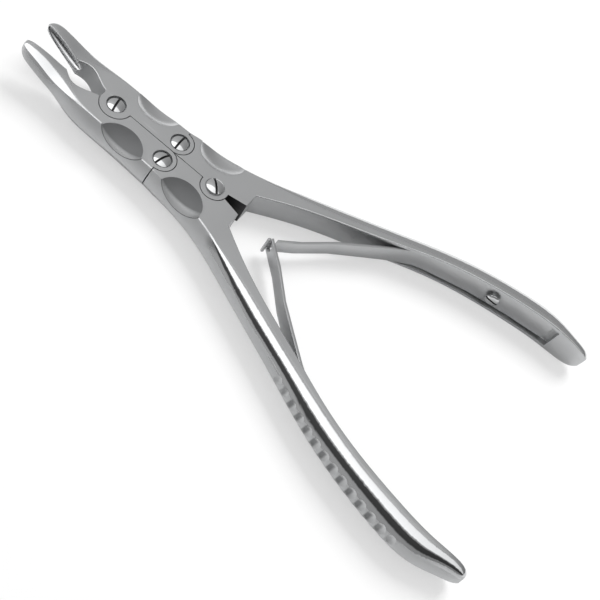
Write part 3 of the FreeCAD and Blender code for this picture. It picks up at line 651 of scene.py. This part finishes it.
class RONGEUR_OT_leaf_screws(bpy.types.Operator):
    """Turn and slot the two screws that hold the leaf springs"""

    bl_idname = "rongeur.leaf_screws"
    bl_label = "Leaf screws"

    def execute(self, context):
        profile = [in_metres(point) for point in LEAF_SCREW_PROFILE]
        slot = in_metres(LEAF_SCREW_SLOT)
        for side, sign in (("a", -1), ("b", 1)):
            inwards = Vector((-math.sin(LEAF_SCREW_LEAN), -sign * math.cos(LEAF_SCREW_LEAN), 0))
            place = rear_pivot() + Vector((LEAF_SCREW[0], sign * LEAF_SCREW[1], 0)) * MM
            turn = Vector((0, 0, 1)).rotation_difference(inwards).to_matrix().to_4x4()
            matrix = Matrix.Translation(place) @ turn
            make_screw(
                f"slotted_leaf_screw_{side}", profile, slot, matrix,
                f"handle_{side}_body", f"leaf_screw_{side}",
            )
        return {"FINISHED"}


def strip_section(thickness, half_height, radius):
    """A rectangle with rounded corners, as (across, up) pairs."""
    points = []
    for turn, (across, up) in enumerate(((1, 1), (-1, 1), (-1, -1), (1, -1))):
        for step in range(4):
            angle = (turn + step / 3) * math.pi / 2
            points.append((
                across * (thickness / 2 - radius) + radius * math.cos(angle),
                up * (half_height - radius) + radius * math.sin(angle),
            ))
    return points


def add_strip(shape, stations, sign):
    """Add a strip through stations of distance along, middle, thickness and half height."""
    loops = []
    for along, middle, thickness, half_height in stations:
        section = strip_section(thickness, half_height, LEAF_ROUNDING)
        loops.append([shape.verts.new((along * MM, sign * (middle + u) * MM, v * MM)) for u, v in section])
    for first, second in zip(loops, loops[1:]):
        for index in range(len(first)):
            after = (index + 1) % len(first)
            shape.faces.new((first[index], first[after], second[after], second[index]))
    shape.faces.new(loops[0])
    shape.faces.new(loops[-1])


def along_leaf(distance):
    """A station on the leaf's straight part, a distance past the link."""
    thickness = STRAIGHT_THICKNESS / math.cos(LEAF_SLOPE)
    return (LEAF_LINK + distance * math.cos(LEAF_SLOPE), -distance * math.sin(LEAF_SLOPE), thickness)


def tip_frame(sign):
    """Matrix of the leaf's tip: X along the leaf past the link, Y across it."""
    turn = Matrix.Rotation(-sign * LEAF_SLOPE, 4, "Z")
    return Matrix.Translation(Vector((LEAF_LINK, 0, 0)) * MM) @ turn


class RONGEUR_OT_springs(bpy.types.Operator):
    """Bend the two leaf springs and hook their tips into each other"""

    bl_idname = "rongeur.springs"
    bl_label = "Leaf springs"

    def execute(self, context):
        satin = finish().satin_roughness
        # Cold-rolled strip, brushed to a flat grey sheen, with bright broken edges
        material = steel(
            "brushed_spring_steel", lambda tree, coords: (list(finish().spring_steel), satin), grain=0.2
        )
        for side, sign in (("a", -1), ("b", 1)):
            shape = bmesh.new()
            first = (*along_leaf(STRAIGHT_START), START_HALF_HEIGHT)
            last = (*along_leaf(STRAIGHT_END[side]), END_HALF_HEIGHT)
            add_strip(shape, (*LEAF_PATH, first, last), sign)
            tip = bmesh.new()
            for low, high, radius in TIP_BLOCKS[side]:
                add_block(tip, in_metres(low), in_metres(high), radius * MM)
            tip.transform(tip_frame(sign))
            tip_mesh = bpy.data.meshes.new("leaf_tip")
            tip.to_mesh(tip_mesh)
            tip.free()
            shape.from_mesh(tip_mesh)
            bpy.data.meshes.remove(tip_mesh)
            obj = finished(shape, f"bent_leaf_{side}", (material,), Matrix.Translation(rear_pivot()))
            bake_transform(obj)
            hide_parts(f"leaf_spring_{side}")
        return {"FINISHED"}


# Where the photograph was taken from, in millimetres and radians
CAMERA_TARGET = (-36.52, 6.20, -1.605)
CAMERA_DISTANCE = 271.55
CAMERA_AZIMUTH = -3.1504883
CAMERA_ELEVATION = 0.9688063
CAMERA_ROLL = 0.7067856
CAMERA_LENS = 61.19


def place_camera():
    """Set the camera where the photograph was taken from."""
    data = bpy.data.cameras.new("camera")
    data.lens = CAMERA_LENS
    data.sensor_width = 36
    data.clip_start = 0.01
    data.clip_end = 10
    camera = bpy.data.objects.new("camera", data)
    bpy.context.scene.collection.objects.link(camera)
    level = math.cos(CAMERA_ELEVATION)
    around = (math.sin(CAMERA_AZIMUTH) * level, -math.cos(CAMERA_AZIMUTH) * level)
    back = Vector((*around, math.sin(CAMERA_ELEVATION)))
    right = Vector((math.cos(CAMERA_AZIMUTH), math.sin(CAMERA_AZIMUTH), 0))
    up = back.cross(right)
    turned_right = math.cos(CAMERA_ROLL) * right + math.sin(CAMERA_ROLL) * up
    turned_up = math.cos(CAMERA_ROLL) * up - math.sin(CAMERA_ROLL) * right
    rotation = Matrix((turned_right, turned_up, back)).transposed().to_4x4()
    place = rear_pivot() + (Vector(CAMERA_TARGET) + back * CAMERA_DISTANCE) * MM
    camera.matrix_world = Matrix.Translation(place) @ rotation
    bpy.context.scene.camera = camera


# Brightness of the studio round the object: degrees from overhead towards side b, and level
STUDIO_LEVELS = (
    (-180, 0.40), (-90, 0.45), (-50, 0.47), (-30, 0.53), (-12, 0.62), (-8, 1.65),
    (27, 1.75), (29, 0.55), (34, 0.48), (36, 0.08), (64, 0.06), (71, 0.42), (110, 0.48), (180, 0.45),
)

# How much brighter the studio is towards the jaws than overhead, as a share
STUDIO_SLOPE = 0.45

# The studio's level for matt surfaces, half the floor's width in metres, its share of plain white
FILL_LEVEL = 0.6
FLOOR_REACH = 3.0
FLOOR_GLOW = 0.5

# The lamp that casts the soft shadow: place, target and size in metres, power in watts
KEY_PLACE = (-0.1, -0.6, 0.75)
KEY_TARGET = (-0.03, 0, 0)
KEY_SIZE = 0.5
KEY_POWER = 8.0


def light_world():
    """A white backdrop, and a soft overhead light that the steel reflects."""
    world = bpy.data.worlds.new("studio")
    bpy.context.scene.world = world
    world.use_nodes = True
    tree = world.node_tree
    tree.nodes.clear()
    coords = add_node(tree, "ShaderNodeTexCoord")
    way = add_node(tree, "ShaderNodeSeparateXYZ", {"Vector": coords.outputs["Generated"]})
    turn = faded(tree, worked_out(tree, "ARCTAN2", way.outputs["Y"], way.outputs["Z"]), -math.pi, math.pi)
    highest = max(level for _, level in STUDIO_LEVELS)
    stops = [((degrees + 180) / 360, level / highest) for degrees, level in STUDIO_LEVELS]
    strength = worked_out(tree, "MULTIPLY_ADD", way.outputs["X"], highest * STUDIO_SLOPE, highest)
    seen = add_node(tree, "ShaderNodeBackground", {"Color": ramp(tree, turn, stops), "Strength": strength})
    fill = add_node(tree, "ShaderNodeBackground", {"Color": (1, 1, 1, 1), "Strength": FILL_LEVEL})
    white = add_node(tree, "ShaderNodeBackground", {"Color": (1, 1, 1, 1), "Strength": 1.0})
    path = add_node(tree, "ShaderNodeLightPath")
    reflected = add_node(
        tree, "ShaderNodeMixShader",
        {"Fac": path.outputs["Is Glossy Ray"], 1: fill.outputs[0], 2: seen.outputs[0]},
    )
    shown = add_node(
        tree, "ShaderNodeMixShader",
        {"Fac": path.outputs["Is Camera Ray"], 1: reflected.outputs[0], 2: white.outputs[0]},
    )
    add_node(tree, "ShaderNodeOutputWorld", {"Surface": shown.outputs[0]})


def lay_floor():
    """A plain pale floor that keeps the object's soft shadow."""
    mesh = bpy.data.meshes.new("floor")
    corners = [(x * FLOOR_REACH, y * FLOOR_REACH, FLOOR_Z) for x, y in ((-1, -1), (1, -1), (1, 1), (-1, 1))]
    mesh.from_pydata(corners, [], [(0, 1, 2, 3)])
    floor = bpy.data.objects.new("floor", mesh)
    bpy.context.scene.collection.objects.link(floor)
    material, tree, output = new_material("matt_white_floor")
    # Matt white card. The camera sees half of it as plain white, which keeps the shadow faint
    matt = add_node(tree, "ShaderNodeBsdfDiffuse", {"Color": list(finish().floor)})
    glow = add_node(tree, "ShaderNodeEmission", {"Color": (1, 1, 1, 1), "Strength": 1.0})
    path = add_node(tree, "ShaderNodeLightPath")
    share = worked_out(tree, "MULTIPLY", path.outputs["Is Camera Ray"], FLOOR_GLOW)
    lift = add_node(tree, "ShaderNodeMixShader", {"Fac": share, 1: matt.outputs[0], 2: glow.outputs[0]})
    tree.links.new(lift.outputs[0], output.inputs["Surface"])
    mesh.materials.append(material)


def hang_lamp(name, place, target, size, power):
    """A square soft light that aims at a point; the steel sees the studio instead of it."""
    data = bpy.data.lights.new(name, "AREA")
    data.shape = "SQUARE"
    data.size = size
    data.energy = power
    lamp = bpy.data.objects.new(name, data)
    bpy.context.scene.collection.objects.link(lamp)
    lamp.location = place
    lamp.rotation_mode = "QUATERNION"
    lamp.rotation_quaternion = (Vector(place) - Vector(target)).to_track_quat("Z", "Y")
    lamp.visible_glossy = False


class RONGEUR_OT_stage(bpy.types.Operator):
    """Set up the floor, lights and camera"""

    bl_idname = "rongeur.stage"
    bl_label = "Studio"

    def execute(self, context):
        context.scene.view_settings.view_transform = "Standard"
        place_camera()
        light_world()
        lay_floor()
        hang_lamp("key", KEY_PLACE, KEY_TARGET, KEY_SIZE, KEY_POWER)
        return {"FINISHED"}


class RONGEUR_PT_panel(bpy.types.Panel):
    """Lists the pieces of the rongeur"""

    bl_idname = "RONGEUR_PT_panel"
    bl_label = "Bone Rongeur"
    bl_space_type = "VIEW_3D"
    bl_region_type = "UI"
    bl_category = "Rongeur"

    def draw(self, context):
        column = self.layout.column(align=True)
        for operator in OPERATORS:
            column.operator(operator.bl_idname)
        for group in (sizes(), finish()):
            for name in group.__annotations__:
                self.layout.prop(group, name)


OPERATORS = (
    RONGEUR_OT_bodies, RONGEUR_OT_screws, RONGEUR_OT_leaf_screws, RONGEUR_OT_springs, RONGEUR_OT_stage,
)
CLASSES = (RongeurSizes, RongeurFinish) + OPERATORS + (RONGEUR_PT_panel,)


def register():
    for cls in CLASSES:
        bpy.utils.register_class(cls)
    bpy.types.Scene.rongeur_sizes = PointerProperty(type=RongeurSizes)
    bpy.types.Scene.rongeur_finish = PointerProperty(type=RongeurFinish)


def unregister():
    del bpy.types.Scene.rongeur_finish
    del bpy.types.Scene.rongeur_sizes
    for cls in reversed(CLASSES):
        bpy.utils.unregister_class(cls)


def main():
    """Build the whole part."""
    register()
    bpy.ops.rongeur.bodies()
    bpy.ops.rongeur.screws()
    bpy.ops.rongeur.leaf_screws()
    bpy.ops.rongeur.springs()
    bpy.ops.rongeur.stage()


if __name__ == "__main__":
    main()
